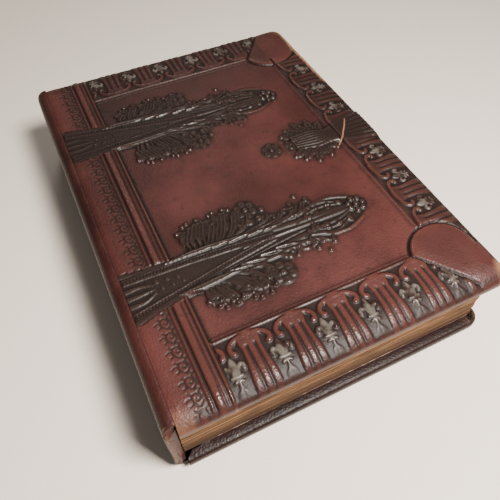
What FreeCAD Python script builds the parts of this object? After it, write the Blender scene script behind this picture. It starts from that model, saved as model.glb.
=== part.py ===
"""A family book bound in embossed leather: two thick sunk-panel covers, a flat-backed
spine between two hinge joints, and a block of twelve thick card leaves on cloth guards.

The book lies closed on its back cover. +Z is up, +X points from the spine to the fore
edge and +Y from the tail to the head. The origin is on the table, under the middle.
"""
import FreeCAD, Part
import math
import os

import Sketcher
from FreeCAD import Placement, Rotation, Vector

# Driving dimensions, in millimetres (the angle in degrees).
SIZES = {
    # the closed book
    "book_length": 280,
    "book_thickness": 64,
    "hinge_place": -94.5,
    "hinge_depth": 7.5,
    "fore_reach": 196.5,
    # a cover, measured from its hinge axis
    "cover_thickness": 12,
    "skin": 1.2,
    "pared_skin": 0.8,
    "turn_in": 15,
    "lip_start": 0.3,
    "hinge_clearance": 7,
    "outer_round": 3.5,
    "corner_round": 4,
    "board_round": 2,
    "panel_start": 30.6,
    "panel_width": 137,
    "panel_length": 212,
    "panel_sink": 2.2,
    "strip_start": 4,
    "strip_sink": 1,
    "strip_rim": 6,
    "board_start": 8.3,
    "board_thickness": 7.8,
    "core_inset": 2.7,
    # the relief ornaments on the panel
    "strap_place": 65,
    "strap_root": 34,
    "strap_neck": 22,
    "strap_neck_place": 62,
    "strap_spread": 52,
    "strap_spread_place": 95,
    "strap_tip": 10,
    "strap_reach": 156,
    "strap_height": 2.1,
    "fan_root": 34,
    "fan_neck": 22,
    "fan_neck_place": 148,
    "fan_tip": 16,
    "fan_reach": 121,
    # the spine and its joints
    "knuckle_outer": 6.7,
    "knuckle_inner": 4.2,
    "knuckle_angle": 85,
    "spine_rise": 0.8,
    "spine_trim": 2,
    "inlay_thickness": 1.4,
    "inlay_height": 46,
    "lining_thickness": 0.5,
    "lining_height": 41,
    "lining_trim": 12,
    # endpapers
    "cloth_thickness": 0.3,
    "cloth_start": 5.8,
    "cloth_width": 11,
    "cloth_trim": 4,
    "paper_thickness": 0.5,
    "flyleaf_start": 9,
    "flyleaf_reach": 189,
    "flyleaf_length": 268,
    # the leaves and their guards
    "leaf_thickness": 2.8,
    "leaf_gap": 0.3,
    "wide_gap": 1,
    "stack_clearance": 0.4,
    "leaf_start": 10.5,
    "leaf_reach": 189,
    "leaf_length": 269,
    "leaf_step": 0.3,
    "stub_start": -0.5,
    "stub_end": 4,
    "guard_reach": 16.5,
    "web_thickness": 1,
    "guard_length": 262,
}

LEAVES = 12
LEAVES_BELOW_WIDE_GAP = 7

# Heights and edges of a cover's layers in its own frame, as formulas.
OUTER = "sizes.hinge_depth"
INNER = "(sizes.hinge_depth - sizes.cover_thickness)"
BOARD_BOTTOM = f"({INNER} + sizes.pared_skin)"
BOARD_TOP = f"({BOARD_BOTTOM} + sizes.board_thickness)"
CORE_TOP = "(sizes.hinge_depth - sizes.skin)"
LOW_CORE_TOP = f"({CORE_TOP} - sizes.strip_sink)"
PANEL_FLOOR = "(sizes.hinge_depth - sizes.panel_sink)"
STRIP_FLOOR = "(sizes.hinge_depth - sizes.strip_sink)"
PANEL_END = "(sizes.panel_start + sizes.panel_width)"
HALF_PANEL = "(sizes.panel_length / 2)"
HALF_BOOK = "(sizes.book_length / 2)"
HALF_SPINE = "(sizes.book_thickness / 2 - sizes.hinge_depth)"

NEAR = 0.01

doc = FreeCAD.newDocument("family_book")
sheet = doc.addObject("Spreadsheet::Sheet", "sizes")
for row, (alias, value) in enumerate(SIZES.items(), start=1):
    sheet.set(f"A{row}", alias)
    sheet.set(f"B{row}", str(value))
    sheet.setAlias(f"B{row}", alias)
doc.recompute()

nodes = []


# ---------------------------------------------------------------------------
# Sketches and features
# ---------------------------------------------------------------------------
def new_body(name):
    body = doc.addObject("PartDesign::Body", name)
    body.Label = name
    nodes.append(body)
    return body


def new_sketch(body, name, role="XY_Plane", level=None):
    """A sketch on one of the body's own planes, raised to a level given as a formula."""
    plane = next(f for f in body.Origin.OriginFeatures if f.Role == role)
    sketch = body.newObject("Sketcher::SketchObject", name)
    sketch.AttachmentSupport = [(plane, "")]
    sketch.MapMode = "FlatFace"
    if level is not None:
        sketch.setExpression("AttachmentOffset.Base.z", level)
    return sketch


def set_size(sketch, constraint, formula):
    index = sketch.addConstraint(constraint)
    sketch.setExpression(f"Constraints[{index}]", formula)


def draw_polygon(sketch, corners):
    """A closed outline of straight lines; each corner is a pair of formulas."""
    first = sketch.GeometryCount
    count = len(corners)
    turn = 2 * math.pi / count
    start = [Vector(math.cos(turn * k), math.sin(turn * k), 0) for k in range(count)]
    for index in range(count):
        sketch.addGeometry(Part.LineSegment(start[index], start[(index + 1) % count]))
    for index in range(count):
        line = first + index
        follower = first + (index + 1) % count
        sketch.addConstraint(Sketcher.Constraint("Coincident", line, 2, follower, 1))
    for index, (along_x, along_y) in enumerate(corners):
        line = first + index
        set_size(sketch, Sketcher.Constraint("DistanceX", -1, 1, line, 1, 1.0), along_x)
        set_size(sketch, Sketcher.Constraint("DistanceY", -1, 1, line, 1, 1.0), along_y)


def draw_rectangle(sketch, left, right, bottom, top):
    draw_polygon(sketch, [(left, bottom), (right, bottom), (right, top), (left, top)])


def draw_arc_band(sketch, centre, radii, angles):
    """Two arcs about one centre, joined by two lines at their ends."""
    for radius in radii:
        circle = Part.Circle(Vector(centre, 0, 0), Vector(0, 0, 1), radius)
        sketch.addGeometry(Part.ArcOfCircle(circle, *angles))
    for point in (1, 2):
        ends = [sketch.getPoint(arc, point) for arc in (0, 1)]
        line = sketch.addGeometry(Part.LineSegment(*ends))
        sketch.addConstraint(Sketcher.Constraint("Coincident", 0, point, line, 1))
        sketch.addConstraint(Sketcher.Constraint("Coincident", 1, point, line, 2))
    sketch.addConstraint(Sketcher.Constraint("Coincident", 0, 3, 1, 3))


def pad(body, sketch, name, length, symmetric=False):
    feature = body.newObject("PartDesign::Pad", name)
    feature.Profile = sketch
    if symmetric:
        feature.SideType = "Symmetric"
    feature.setExpression("Length", length)
    doc.recompute()


def pocket(body, sketch, name, length, symmetric=False):
    """Cut down from the sketch by a length, or by half of it to each side."""
    before = body.Shape.Volume
    feature = body.newObject("PartDesign::Pocket", name)
    feature.Profile = sketch
    if symmetric:
        feature.SideType = "Symmetric"
    feature.setExpression("Length", length)
    doc.recompute()
    if body.Shape.Volume >= before - NEAR:
        raise RuntimeError(f"{body.Label}: {name} cut nothing")


def round_edges(body, name, radius, chosen):
    """A fillet on every edge of the body that the test picks out."""
    base = body.Tip
    edges = [f"Edge{k}" for k, edge in enumerate(base.Shape.Edges, start=1) if chosen(edge)]
    feature = body.newObject("PartDesign::Fillet", name)
    feature.Base = (base, edges)
    feature.setExpression("Radius", radius)
    doc.recompute()


def lies_at(edge, axis, value):
    """True for an edge that keeps one coordinate along its whole length."""
    return all(abs(getattr(v.Point, axis) - value) < NEAR for v in edge.Vertexes)


def plate(name, outline, level, thickness):
    """A flat piece: a rectangle, given by four formulas, padded up from its level."""
    body = new_body(name)
    sketch = new_sketch(body, f"{name}_outline", level=level)
    draw_rectangle(sketch, *outline)
    pad(body, sketch, f"{name}_sheet", thickness)
    return body


# ---------------------------------------------------------------------------
# Outlines shared by a cover's layers. A cover's frame has its origin on the hinge
# axis, +X to the fore edge and +Z to the outer face.
# ---------------------------------------------------------------------------
def cover_outline(start, inset):
    edge = f"({HALF_BOOK} - {inset})"
    return start, f"(sizes.fore_reach - {inset})", f"-{edge}", edge


def core_ring(sketch):
    """The border core all round, with the panel's opening in it."""
    draw_rectangle(sketch, *cover_outline("sizes.board_start", "sizes.core_inset"))
    left = "(sizes.panel_start - sizes.skin)"
    right = f"({PANEL_END} + sizes.skin)"
    edge = f"({HALF_PANEL} + sizes.skin)"
    draw_rectangle(sketch, left, right, f"-{edge}", edge)


def core_arms(sketch):
    """The higher part of the core: its head, fore and tail arms without the spine arm."""
    left = "(sizes.panel_start - sizes.skin)"
    right = f"({PANEL_END} + sizes.skin)"
    edge = f"({HALF_PANEL} + sizes.skin)"
    reach = "(sizes.fore_reach - sizes.core_inset)"
    end = f"({HALF_BOOK} - sizes.core_inset)"
    draw_polygon(
        sketch,
        [
            (left, f"-{end}"),
            (reach, f"-{end}"),
            (reach, end),
            (left, end),
            (left, edge),
            (right, edge),
            (right, f"-{edge}"),
            (left, f"-{edge}"),
        ],
    )


def symmetric_outline(centre, stations):
    """Corners of a shape symmetric about a line at constant Y: (place, width) stations."""
    lower = [(place, f"({centre} - {width} / 2)") for place, width in stations]
    upper = [(place, f"({centre} + {width} / 2)") for place, width in stations]
    return lower + upper[::-1]


# ---------------------------------------------------------------------------
# A cover's pieces
# ---------------------------------------------------------------------------
def cover_leather(side):
    """The leather shell: wrapped round the board and core and turned in on the inside."""
    body = new_body(f"{side}_cover_leather")
    block = new_sketch(body, f"{side}_leather_block", level=INNER)
    draw_rectangle(block, *cover_outline("sizes.lip_start", "0"))
    pad(body, block, f"{side}_leather_pad", "sizes.cover_thickness")

    fore = SIZES["fore_reach"]
    half = SIZES["book_length"] / 2

    def upright_corner(edge):
        return lies_at(edge, "x", fore) and any(lies_at(edge, "y", y) for y in (half, -half))

    def outer_rim(edge):
        return lies_at(edge, "z", SIZES["hinge_depth"]) and not lies_at(edge, "x", SIZES["lip_start"])

    round_edges(body, f"{side}_corner_rounds", "sizes.corner_round", upright_corner)
    round_edges(body, f"{side}_rim_rounds", "sizes.outer_round", outer_rim)

    panel = new_sketch(body, f"{side}_panel", level=OUTER)
    draw_rectangle(panel, "sizes.panel_start", PANEL_END, f"-{HALF_PANEL}", HALF_PANEL)
    pocket(body, panel, f"{side}_panel_sink", "sizes.panel_sink")

    strip = new_sketch(body, f"{side}_strip", level=OUTER)
    strip_end = f"({HALF_BOOK} - sizes.strip_rim)"
    draw_rectangle(strip, "sizes.strip_start", "sizes.panel_start", f"-{strip_end}", strip_end)
    pocket(body, strip, f"{side}_strip_sink", "sizes.strip_sink")

    arms = new_sketch(body, f"{side}_arms_room", level=CORE_TOP)
    core_arms(arms)
    pocket(body, arms, f"{side}_arms_cavity", "sizes.strip_sink")

    ring = new_sketch(body, f"{side}_ring_room", level=LOW_CORE_TOP)
    core_ring(ring)
    pocket(body, ring, f"{side}_ring_cavity", f"({LOW_CORE_TOP} - {BOARD_TOP})")

    board = new_sketch(body, f"{side}_board_room", level=BOARD_TOP)
    draw_rectangle(board, *cover_outline("sizes.board_start", "sizes.skin"))
    pocket(body, board, f"{side}_board_cavity", "sizes.board_thickness")

    window = new_sketch(body, f"{side}_window", level=BOARD_BOTTOM)
    draw_rectangle(window, *cover_outline("sizes.turn_in", "sizes.turn_in"))
    pocket(body, window, f"{side}_window_opening", "sizes.pared_skin")

    hollow = new_sketch(body, f"{side}_hinge_room", role="XZ_Plane")
    hollow.addGeometry(Part.Circle(Vector(0, 0, 0), Vector(0, 0, 1), SIZES["hinge_clearance"]))
    hollow.addConstraint(Sketcher.Constraint("Coincident", 0, 3, -1, 1))
    set_size(hollow, Sketcher.Constraint("Radius", 0, 5.0), "sizes.hinge_clearance")
    pocket(body, hollow, f"{side}_hinge_hollow", "sizes.book_length + 2", symmetric=True)
    return body


def cover_board(side):
    """The stiff board that fills the leather shell."""
    outline = cover_outline("sizes.board_start", "sizes.skin")
    body = plate(f"{side}_board", outline, BOARD_BOTTOM, "sizes.board_thickness")
    fore = SIZES["fore_reach"] - SIZES["skin"]

    def fore_corner(edge):
        return lies_at(edge, "x", fore) and edge.BoundBox.ZLength > NEAR and edge.BoundBox.YLength < NEAR

    round_edges(body, f"{side}_board_rounds", "sizes.board_round", fore_corner)
    return body


def border_core(side):
    """The frame glued on the board that raises the border above the sunk panel."""
    body = new_body(f"{side}_border_core")
    ring = new_sketch(body, f"{side}_core_ring", level=BOARD_TOP)
    core_ring(ring)
    pad(body, ring, f"{side}_core_base", f"({LOW_CORE_TOP} - {BOARD_TOP})")
    arms = new_sketch(body, f"{side}_core_arms", level=LOW_CORE_TOP)
    core_arms(arms)
    pad(body, arms, f"{side}_core_rise", "sizes.strip_sink")
    return body


def strap_relief(side, end, direction):
    """A long hinge-strap ornament, from the spine strip out over the sunk panel."""
    body = new_body(f"{side}_strap_relief_{end}")
    centre = f"({direction} * sizes.strap_place)"
    panel_part = new_sketch(body, f"{body.Label}_blade", level=PANEL_FLOOR)
    blade = [
        ("sizes.panel_start", "sizes.strap_root"),
        ("sizes.strap_neck_place", "sizes.strap_neck"),
        ("sizes.strap_spread_place", "sizes.strap_spread"),
        ("sizes.strap_reach", "sizes.strap_tip"),
    ]
    draw_polygon(panel_part, symmetric_outline(centre, blade))
    pad(body, panel_part, f"{body.Label}_blade_pad", "sizes.strap_height")
    root_part = new_sketch(body, f"{body.Label}_root", level=STRIP_FLOOR)
    root = [
        ("sizes.strip_start", "sizes.strap_root"),
        ("sizes.panel_start", "sizes.strap_root"),
    ]
    draw_polygon(root_part, symmetric_outline(centre, root))
    rise = f"({PANEL_FLOOR} + sizes.strap_height - {STRIP_FLOOR})"
    pad(body, root_part, f"{body.Label}_root_pad", rise)
    return body


def fan_relief(side):
    """The shorter ornament that points from the middle of the fore edge to the spine."""
    body = new_body(f"{side}_fan_relief")
    outline = new_sketch(body, f"{side}_fan_outline", level=PANEL_FLOOR)
    stations = [
        (PANEL_END, "sizes.fan_root"),
        ("sizes.fan_neck_place", "sizes.fan_neck"),
        ("sizes.fan_reach", "sizes.fan_tip"),
    ]
    draw_polygon(outline, symmetric_outline("0", stations))
    pad(body, outline, f"{side}_fan_pad", "sizes.strap_height")
    return body


def pastedown(side):
    """The lined paper that fills the window between the leather's turn-ins."""
    outline = cover_outline("sizes.turn_in", "sizes.turn_in")
    return plate(f"{side}_pastedown", outline, INNER, "sizes.pared_skin")


def hinge_cloth(side):
    """The cloth strip glued along the inside of the cover's spine edge."""
    edge = f"({HALF_BOOK} - sizes.cloth_trim)"
    outline = ("sizes.cloth_start", "(sizes.cloth_start + sizes.cloth_width)", f"-{edge}", edge)
    level = f"({INNER} - sizes.cloth_thickness)"
    return plate(f"{side}_hinge_cloth", outline, level, "sizes.cloth_thickness")


def flyleaf(side):
    """The loose endpaper that lies between the cover and the leaves."""
    edge = "(sizes.flyleaf_length / 2)"
    outline = ("sizes.flyleaf_start", "sizes.flyleaf_reach", f"-{edge}", edge)
    level = f"({INNER} - sizes.cloth_thickness - sizes.paper_thickness)"
    return plate(f"{side}_flyleaf", outline, level, "sizes.paper_thickness")


def joint_leather(side):
    """The leather knuckle of a joint: part of a ring about the hinge axis."""
    body = new_body(f"{side}_joint_leather")
    sketch = new_sketch(body, f"{side}_knuckle", role="XZ_Plane")
    radii = (SIZES["knuckle_outer"], SIZES["knuckle_inner"])
    draw_arc_band(sketch, 0, radii, (math.radians(SIZES["knuckle_angle"]), math.pi))
    sketch.addConstraint(Sketcher.Constraint("Coincident", 0, 3, -1, 1))
    for arc, radius in enumerate(("sizes.knuckle_outer", "sizes.knuckle_inner")):
        set_size(sketch, Sketcher.Constraint("Radius", arc, radii[arc]), radius)
        sketch.addConstraint(Sketcher.Constraint("PointOnObject", arc, 2, -1))
        start = sketch.getPoint(arc, 1)
        formula = f"{radius} * cos(sizes.knuckle_angle * 1 deg)"
        set_size(sketch, Sketcher.Constraint("DistanceX", -1, 1, arc, 1, start.x), formula)
    pad(body, sketch, f"{side}_knuckle_pad", "sizes.book_length - 2 * sizes.spine_trim", True)
    return body


def cover_pieces(side):
    toward_head = "-1" if side == "back" else "1"
    toward_tail = "1" if side == "back" else "-1"
    pieces = [
        cover_board(side),
        border_core(side),
        cover_leather(side),
        strap_relief(side, "tail", toward_tail),
        strap_relief(side, "head", toward_head),
        fan_relief(side),
        pastedown(side),
        hinge_cloth(side),
        flyleaf(side),
        joint_leather(side),
    ]
    turned_over = Rotation(Vector(1, 0, 0), 180 if side == "back" else 0)
    for piece in pieces:
        piece.Placement = Placement(Vector(), turned_over)
        piece.setExpression("Placement.Base.x", "sizes.hinge_place")
        height = "sizes.hinge_depth" if side == "back" else "sizes.book_thickness - sizes.hinge_depth"
        piece.setExpression("Placement.Base.z", height)


# ---------------------------------------------------------------------------
# The spine: three curved strips, one inside the other
# ---------------------------------------------------------------------------
def spine_strip(name, depth, thickness, half_height, length):
    """A strip of the spine, a given depth inside its outer face."""
    body = new_body(name)
    sketch = new_sketch(body, f"{name}_section", role="XZ_Plane")
    half = SIZES["book_thickness"] / 2 - SIZES["hinge_depth"]
    rise = SIZES["spine_rise"]
    radius = (half**2 + rise**2) / (2 * rise)
    swing = math.asin(half / radius)
    draw_arc_band(
        sketch, radius - SIZES["hinge_depth"], (radius, radius - 1), (math.pi - swing, math.pi + swing)
    )
    curve = f"(({HALF_SPINE} ^ 2 + sizes.spine_rise ^ 2) / (2 * sizes.spine_rise))"
    sketch.addConstraint(Sketcher.Constraint("PointOnObject", 0, 3, -1))
    centre = Sketcher.Constraint("DistanceX", -1, 1, 0, 3, radius - SIZES["hinge_depth"])
    set_size(sketch, centre, f"{curve} - sizes.hinge_depth")
    outer = f"({curve} - {depth})"
    for arc, size in enumerate((outer, f"({outer} - {thickness})")):
        set_size(sketch, Sketcher.Constraint("Radius", arc, radius - arc), size)
        for point, sign in ((1, ""), (2, "-")):
            place = sketch.getPoint(arc, point).y
            end = Sketcher.Constraint("DistanceY", -1, 1, arc, point, place)
            set_size(sketch, end, f"{sign}{half_height}")
    pad(body, sketch, f"{name}_pad", length, True)
    body.setExpression("Placement.Base.x", "sizes.hinge_place")
    body.setExpression("Placement.Base.z", "sizes.book_thickness / 2")
    return body


def spine_pieces():
    outer_length = "sizes.book_length - 2 * sizes.spine_trim"
    inner_length = "sizes.book_length - 2 * sizes.lining_trim"
    inlay_depth = "sizes.skin"
    lining_depth = "(sizes.skin + sizes.inlay_thickness)"
    spine_strip("spine_leather", "0", "sizes.skin", HALF_SPINE, outer_length)
    spine_strip(
        "spine_inlay", inlay_depth, "sizes.inlay_thickness", "(sizes.inlay_height / 2)", outer_length
    )
    spine_strip(
        "spine_lining", lining_depth, "sizes.lining_thickness", "(sizes.lining_height / 2)", inner_length
    )


# ---------------------------------------------------------------------------
# The leaves: a stiff card, slotted for the web of the cloth guard that hinges it
# ---------------------------------------------------------------------------
def leaf_level(index):
    """Height of a leaf's underside, as a formula."""
    base = (
        "sizes.cover_thickness + sizes.cloth_thickness + sizes.paper_thickness"
        " + sizes.stack_clearance"
    )
    level = f"{base} + {index} * (sizes.leaf_thickness + sizes.leaf_gap)"
    if index >= LEAVES_BELOW_WIDE_GAP:
        level += " + sizes.wide_gap - sizes.leaf_gap"
    return level


def unevenness(index):
    """How far a leaf stands out of the block or back in, from -1 to 1."""
    return round(math.sin(2.4 * index), 2)


def leaf(index):
    name = f"leaf_{index + 1:02d}"
    step = f"({unevenness(index)} * sizes.leaf_step)"
    edge = f"(sizes.leaf_length / 2 + {step} / 2)"
    outline = ("sizes.leaf_start", f"(sizes.leaf_reach + {step})", f"-{edge}", edge)
    card = plate(name, outline, "0", "sizes.leaf_thickness")
    slot_top = "(sizes.leaf_thickness + sizes.web_thickness) / 2"
    slot = new_sketch(card, f"{name}_slot", level=slot_top)
    half_guard = "(sizes.guard_length / 2)"
    draw_rectangle(slot, "sizes.stub_end", "sizes.guard_reach", f"-{half_guard}", half_guard)
    pocket(card, slot, f"{name}_slot_cut", "sizes.web_thickness")

    stub = ("sizes.stub_start", "sizes.stub_end", f"-{half_guard}", half_guard)
    guard = plate(f"guard_{index + 1:02d}", stub, "0", "sizes.leaf_thickness")
    web_bottom = "(sizes.leaf_thickness - sizes.web_thickness) / 2"
    web = new_sketch(guard, f"{guard.Label}_web", level=web_bottom)
    draw_rectangle(web, "sizes.stub_end", "sizes.guard_reach", f"-{half_guard}", half_guard)
    pad(guard, web, f"{guard.Label}_web_pad", "sizes.web_thickness")

    for piece in (card, guard):
        piece.setExpression("Placement.Base.x", "sizes.hinge_place")
        piece.setExpression("Placement.Base.z", leaf_level(index))


cover_pieces("back")
cover_pieces("front")
spine_pieces()
for leaf_index in range(LEAVES):
    leaf(leaf_index)
doc.recompute()

# ---------------------------------------------------------------------------
# Check every object, then write one file per node
# ---------------------------------------------------------------------------
for item in doc.Objects:
    if "Invalid" in item.State or "Error" in item.State:
        raise RuntimeError(f"{item.Label} failed: {item.State}")
for body in nodes:
    shape = body.Shape
    if shape.isNull() or not shape.isValid() or len(shape.Solids) != 1:
        raise RuntimeError(f"{body.Label} is not one valid solid")

os.makedirs("parts", exist_ok=True)
for body in nodes:
    body.Shape.exportStep(f"parts/{body.Label}.step")
    box = body.Shape.BoundBox
    print(
        f"{body.Label:26s} x {box.XMin:8.2f} {box.XMax:8.2f}  y {box.YMin:8.2f} {box.YMax:8.2f}"
        f"  z {box.ZMin:7.2f} {box.ZMax:7.2f}  volume {body.Shape.Volume:10.0f}"
    )
print(len(nodes), "nodes")
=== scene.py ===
"""A large leather-bound bible with thick card leaves, dressed over its CAD frame."""
import math
import bmesh
import bpy
import numpy as np
from mathutils import Matrix, Vector, noise


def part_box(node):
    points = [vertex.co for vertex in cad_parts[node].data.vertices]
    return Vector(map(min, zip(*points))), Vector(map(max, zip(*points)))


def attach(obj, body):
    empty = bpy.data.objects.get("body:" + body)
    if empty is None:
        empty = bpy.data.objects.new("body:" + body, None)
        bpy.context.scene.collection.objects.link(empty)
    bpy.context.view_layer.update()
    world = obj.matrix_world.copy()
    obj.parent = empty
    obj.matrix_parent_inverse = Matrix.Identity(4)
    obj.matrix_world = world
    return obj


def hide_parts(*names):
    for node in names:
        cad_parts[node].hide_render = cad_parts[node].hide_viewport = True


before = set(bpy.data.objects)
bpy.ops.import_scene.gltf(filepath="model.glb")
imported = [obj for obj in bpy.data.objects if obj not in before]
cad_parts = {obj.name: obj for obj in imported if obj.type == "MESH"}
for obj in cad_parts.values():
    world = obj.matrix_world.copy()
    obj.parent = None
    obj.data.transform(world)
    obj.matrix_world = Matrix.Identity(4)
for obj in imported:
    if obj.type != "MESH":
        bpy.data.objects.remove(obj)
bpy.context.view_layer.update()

# The pressed face of a cover: one hide, wetted and pressed in an engraved
# plate over the board, so straps, foliage and borders stand up out of it.
# Worked out in millimetres from the cover's hinge axis; both covers share it.
low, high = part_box("front_cover_leather")
HINGE_X = low[0] - 0.0003
FRONT_Z = low[2] + 0.0045
BACK_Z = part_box("back_cover_leather")[1][2] - 0.0045
LENGTH = (high[0] - HINGE_X) * 1000
HALF = high[1] * 1000
ROLL = 3.5
FLOOR = 5.3
CROWN = 7.1
TOP = 7.4
EDGE_WIDTH = 16
EDGE_DROP = 6.5
STRIP_END = 30.6
ACROSS = np.linspace(0.3, LENGTH - ROLL, 429)
ALONG = np.linspace(ROLL - HALF, HALF - ROLL, 609)
X, Y = np.meshgrid(ACROSS, ALONG, indexing="ij")


def ease(value, start, end):
    """0 before start, 1 after end, smooth between."""
    t = np.clip((value - start) / (end - start), 0, 1)
    return t * t * (3 - 2 * t)


def bend(points, steps=8):
    """A smooth curve through a few points."""
    p = np.array([points[0], *points, points[-1]], float)
    out = []
    for a, b, c, d in zip(p[:-3], p[1:-2], p[2:-1], p[3:]):
        for t in np.arange(steps) / steps:
            out.append(0.5 * (2 * b + (c - a) * t + (2 * a - 5 * b + 4 * c - d) * t * t
                              + (3 * b - a - 3 * c + d) * t ** 3))
    return np.array([*out, p[-1]])


def reach(points, x, y):
    """How far each spot lies from a line, how far along it, and the line's length."""
    best = np.full(x.shape, 1e9)
    along = np.zeros(x.shape)
    done = 0.0
    for a, b in zip(points[:-1], points[1:]):
        step = b - a
        size = math.hypot(*step) + 1e-9
        t = np.clip(((x - a[0]) * step[0] + (y - a[1]) * step[1]) / size ** 2, 0, 1)
        away = np.hypot(x - a[0] - t * step[0], y - a[1] - t * step[1])
        near = away < best
        best[near] = away[near]
        along[near] = done + t[near] * size
        done += size
    return best, along, done


def patch(points, margin):
    """The part of the face around a tool mark."""
    first = np.min(points, axis=0) - margin
    last = np.max(points, axis=0) + margin
    i0, i1 = np.searchsorted(ACROSS, [first[0], last[0]])
    j0, j1 = np.searchsorted(ALONG, [first[1], last[1]])
    return slice(i0, i1), slice(j0, j1)


# The ground of the face: the strip beside the spine, the sunk panel and the
# raised border round it, all rolled down towards the board's outer edges.
edge = np.minimum(HALF - np.abs(Y), LENGTH - X)


def drop(away):
    """How far the cover's face has sunk below its crown, near its outer edges."""
    return EDGE_DROP * (1 - np.sqrt(1 - (np.clip(EDGE_WIDTH - away, 0, EDGE_WIDTH) / EDGE_WIDTH) ** 2))


strip = 6.5 + 0.4 * ease(X, 0, 4) - drop(edge)
strip = strip + 0.75 * np.sqrt(np.clip(1 - ((X - 22.8) / 1.9) ** 2, 0, 1))
border = CROWN - drop(edge)
inward = np.minimum(X - STRIP_END, np.minimum(167.6 - X, 105 - np.abs(Y)))
panel = FLOOR + 0.25 * ease(inward, 0, 55) + 0.12 * np.sin(X / 17 + 1) * np.sin(Y / 23)
ground = np.where(X < STRIP_END, strip, border)
ground = ground + (panel - ground) * ease(inward, -1.6, 1.0)
level = ground.copy()
detail = np.zeros_like(X)
cuts = np.zeros_like(X)
dark = np.zeros_like(X)
silver = np.zeros_like(X)


def rib(points, half, height, taper=(1.0, 1.0), lift=None):
    """A rounded rib along a curve, on top of what is there or lifted off the floor."""
    line = np.array(points, float)
    area = patch(line, half + 0.6)
    away, along, full = reach(line, X[area], Y[area])
    width = half * (taper[0] + (taper[1] - taper[0]) * along / full)
    bump = np.sqrt(np.clip(1 - (away / width) ** 2, 0, 1))
    if lift is None:
        detail[area] = np.maximum(detail[area], height * bump)
    else:
        level[area] = np.maximum(level[area], np.where(bump > 0, lift + height * bump, 0))
        dark[area] = np.maximum(dark[area], ease(bump, 0, 0.35))


def beads(points, pitch, radius, height, lift=None):
    """A row of beads along a curve."""
    line = np.array(points, float)
    area = patch(line, radius + 0.6)
    away, along, full = reach(line, X[area], Y[area])
    count = max(1, round(full / pitch))
    span = full / count
    beat = (along / span) % 1 - 0.5
    bump = np.sqrt(np.clip(1 - (np.hypot(away, beat * span) / radius) ** 2, 0, 1))
    if lift is None:
        detail[area] = np.maximum(detail[area], height * bump)
    else:
        level[area] = np.maximum(level[area], np.where(bump > 0, lift + height * bump, 0))
        dark[area] = np.maximum(dark[area], ease(bump, 0, 0.35))


def groove(points, half, depth):
    """A tooled line cut along a curve."""
    line = np.array(points, float)
    area = patch(line, half * 2.4)
    away = reach(line, X[area], Y[area])[0]
    cuts[area] = np.maximum(cuts[area], depth * np.exp(-(away / half) ** 2))
    dark[area] = np.maximum(dark[area], 0.9 * np.exp(-(away / half) ** 2))


def ball(x, y, radius, height=0.9, lift=FLOOR):
    """A round boss."""
    beads([(x - 0.01, y), (x + 0.01, y)], 1, radius, height, lift)


def leaf(x, y, turn, size, width, height=1.0, lobes=3):
    """A lobed leaf with a raised rim, a sunk midrib and side veins, growing from x, y."""
    c, s = math.cos(math.radians(turn)), math.sin(math.radians(turn))
    area = patch(np.array([(x, y), (x + c * size, y + s * size)]), width + 1)
    u = ((X[area] - x) * c + (Y[area] - y) * s) / size
    v = -(X[area] - x) * s + (Y[area] - y) * c
    inside = (u > 0) & (u < 1)
    u = np.clip(u, 0.001, 0.999)
    half = width * np.sin(math.pi * u ** 0.75) ** 0.7 * (0.72 + 0.28 * np.abs(np.sin(lobes * math.pi * u)))
    bump = np.where(inside, np.clip(1 - (v / np.maximum(half, 0.05)) ** 2, 0, 1) ** 0.45, 0)
    veins = 0.22 * np.clip(np.cos((u * lobes * 2 - np.abs(v) / width) * math.pi * 2), 0, 1)
    rim = 0.3 * np.exp(-((np.abs(v) / np.maximum(half, 0.05) - 0.82) / 0.14) ** 2)
    shape = height * bump * (0.75 + rim - 0.35 * np.exp(-(v / 0.5) ** 2) - veins * (np.abs(v) > 0.6))
    level[area] = np.maximum(level[area], np.where(bump > 0, FLOOR + 0.1 + shape, 0))
    dark[area] = np.maximum(dark[area], ease(bump, 0, 0.5))


def rosette(x, y, radius, petals=6):
    """A flower: round petals with a dimple each, about a centre button."""
    area = patch(np.array([(x, y)]), radius + 1)
    away = np.hypot(X[area] - x, Y[area] - y)
    turn = np.arctan2(Y[area] - y, X[area] - x)
    rim = radius * (0.86 + 0.14 * np.abs(np.cos(petals * turn / 2)))
    plate = np.clip(1 - (away / rim) ** 4, 0, 1) ** 0.5
    level[area] = np.maximum(level[area], np.where(plate > 0, FLOOR + 0.55 * plate, 0))
    dark[area] = np.maximum(dark[area], ease(plate, 0, 0.4))
    for k in range(petals):
        a = 2 * math.pi * (k + 0.5) / petals
        px, py = x + math.cos(a) * radius * 0.58, y + math.sin(a) * radius * 0.58
        ball(px, py, radius * 0.33, 0.95, FLOOR + 0.3)
        groove([(px - 0.01, py), (px + 0.01, py)], radius * 0.1, 0.55)
    ball(x, y, radius * 0.24, 1.0, FLOOR + 0.55)


def curl(x, y, radius, turn, way=1, half=0.75):
    """A small volute."""
    line = [(x + radius * (1 - t) * math.cos(turn + way * t * 7),
             y + radius * (1 - t) * math.sin(turn + way * t * 7)) for t in np.linspace(0, 0.8, 18)]
    rib(line, half, 0.95, (1, 0.8), FLOOR + 0.1)
    ball(x, y, radius * 0.34, 1.1, FLOOR + 0.1)


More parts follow.
